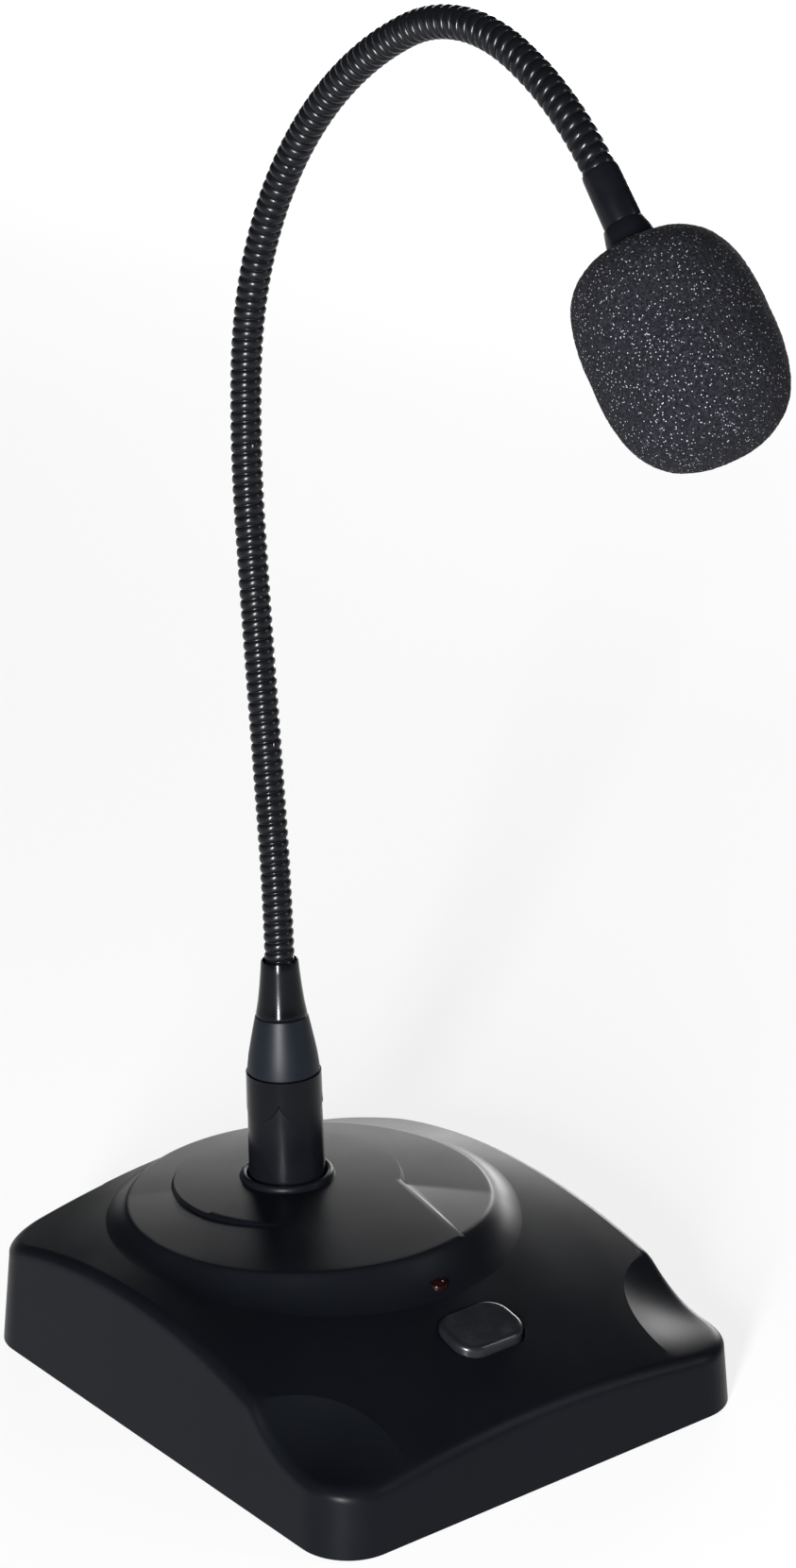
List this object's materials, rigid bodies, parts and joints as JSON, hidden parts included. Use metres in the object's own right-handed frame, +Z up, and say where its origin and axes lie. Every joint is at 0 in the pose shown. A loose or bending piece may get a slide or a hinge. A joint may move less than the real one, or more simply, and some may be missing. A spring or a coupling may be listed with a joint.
{
  "type": "gooseneck podium microphone",
  "caption": "Weighted table base with a talk button and a plug-in bendable gooseneck that carries an electret capsule under a foam windscreen.",
  "frame": {"origin": "on the table under the middle of the base, on the underside of the rubber pad", "axes": "+Z up, the user's side and the talk button towards -Y, +X to the right as the user's side is faced from the front"},
  "size_m": [0.135, 0.2174, 0.3606],
  "materials": {
    "cover_plastic": "satin moulded ABS, fine spark texture",
    "plate_plastic": "matt moulded plastic",
    "pad_rubber": "matt non-slip rubber",
    "ballast_steel": "zinc-plated plate",
    "screw_steel": "blackened steel",
    "insert_plastic": "insulating plastic",
    "contact_brass": "gold flash",
    "board_resin": "solder-masked board",
    "led_resin": "tinted lens, unlit",
    "lead_rubber": "vinyl",
    "nut_steel": "nickel plate",
    "button_plastic": "gloss",
    "plunger_plastic": "moulded",
    "spring_steel": "spring wire",
    "shell_metal": "satin black powder coat",
    "cap_metal": "gloss black",
    "boot_rubber": "matt slate",
    "neck_steel": "gloss black lacquered wire",
    "housing_metal": "satin black",
    "capsule_metal": "drawn can",
    "foam_black": "open-cell foam"
  },
  "bodies": {
    "base": {"base_cover": "cover_plastic", "bottom_plate": "plate_plastic", "rubber_pad": "pad_rubber", "ballast_plate": "ballast_steel", "base_screws": "screw_steel", "ballast_screws": "screw_steel", "socket_body": "insert_plastic", "socket_insert": "insert_plastic", "socket_contacts": "contact_brass", "socket_screws": "screw_steel", "circuit_board": "board_resin", "board_screws": "screw_steel", "switch_body": "insert_plastic", "led_lens": "led_resin", "base_leads": "lead_rubber", "output_jack": "insert_plastic", "jack_nut": "nut_steel", "button_spring": "spring_steel"},
    "button": {"button_cap": "button_plastic", "switch_plunger": "plunger_plastic"},
    "plug": {"plug_shell": "shell_metal", "plug_cap": "cap_metal", "plug_insert": "insert_plastic", "plug_pins": "contact_brass", "cable_clamp": "insert_plastic", "plug_boot": "boot_rubber", "lower_ferrule": "cap_metal", "neck_coil_1": "neck_steel", "mic_lead_1": "lead_rubber"},
    "section_2": {"neck_coil_2": "neck_steel", "mic_lead_2": "lead_rubber"},
    "section_3": {"neck_coil_3": "neck_steel", "mic_lead_3": "lead_rubber"},
    "section_4": {"neck_coil_4": "neck_steel", "mic_lead_4": "lead_rubber"},
    "section_5": {"neck_coil_5": "neck_steel", "mic_lead_5": "lead_rubber"},
    "section_6": {"neck_coil_6": "neck_steel", "mic_lead_6": "lead_rubber"},
    "section_7": {"neck_coil_7": "neck_steel", "mic_lead_7": "lead_rubber"},
    "section_8": {"neck_coil_8": "neck_steel", "mic_lead_8": "lead_rubber"},
    "head": {"neck_coil_9": "neck_steel", "mic_lead_9": "lead_rubber", "upper_ferrule": "cap_metal", "capsule_housing": "housing_metal", "capsule_holder": "lead_rubber", "capsule": "capsule_metal", "capsule_grille": "shell_metal"},
    "foam": {"windscreen": "foam_black"}
  },
  "joints": [
    {"name": "button_press", "type": "slide", "parent": "base", "child": "button", "axis": [0, 0, -1], "range_m": [0, 0.0015], "stiffness_N_per_m": 400, "springref_m": -0.002, "deforming": ["button_spring"]},
    {"name": "mic_unplug", "type": "slide", "parent": "base", "child": "plug", "axis": [0, 0.0391, 0.9992], "range_m": [0, 0.03]},
    {"name": "neck_bend_1", "type": "hinge", "parent": "plug", "child": "section_2", "pos_m": [0, 0.03644, 0.14451], "axis": [1, 0, 0], "range_deg": [-12, 12]},
    {"name": "neck_bend_2", "type": "hinge", "parent": "section_2", "child": "section_3", "pos_m": [0, 0.04042, 0.18342], "axis": [1, 0, 0], "range_deg": [-12, 12]},
    {"name": "neck_lean_3", "type": "hinge", "parent": "section_3", "child": "section_4", "pos_m": [0, 0.04413, 0.22235], "axis": [0, 0.9961, -0.0879], "range_deg": [-15, 15]},
    {"name": "neck_bend_4", "type": "hinge", "parent": "section_4", "child": "section_5", "pos_m": [0, 0.04477, 0.26143], "axis": [1, 0, 0], "range_deg": [-12, 12]},
    {"name": "neck_bend_5", "type": "hinge", "parent": "section_5", "child": "section_6", "pos_m": [0, 0.03546, 0.29918], "axis": [1, 0, 0], "range_deg": [-18, 18]},
    {"name": "neck_lean_6", "type": "hinge", "parent": "section_6", "child": "section_7", "pos_m": [0, 0.01306, 0.33097], "axis": [0, 0.6977, 0.7164], "range_deg": [-15, 15]},
    {"name": "neck_bend_7", "type": "hinge", "parent": "section_7", "child": "section_8", "pos_m": [0, -0.01923, 0.35266], "axis": [1, 0, 0], "range_deg": [-18, 18]},
    {"name": "neck_bend_8", "type": "hinge", "parent": "section_8", "child": "head", "pos_m": [0, -0.05724, 0.35259], "axis": [1, 0, 0], "range_deg": [-18, 18]},
    {"name": "windscreen_pull", "type": "slide", "parent": "head", "child": "foam", "axis": [0, -0.6203, -0.7843], "range_m": [0, 0.035]}
  ],
  "couplings": [
    {"joint": "neck_bend_2", "follows": "neck_bend_1", "ratio": 1},
    {"joint": "neck_bend_4", "follows": "neck_bend_1", "ratio": 1},
    {"joint": "neck_lean_6", "follows": "neck_lean_3", "ratio": 1},
    {"joint": "neck_bend_7", "follows": "neck_bend_5", "ratio": 1},
    {"joint": "neck_bend_8", "follows": "neck_bend_5", "ratio": 1}
  ]
}
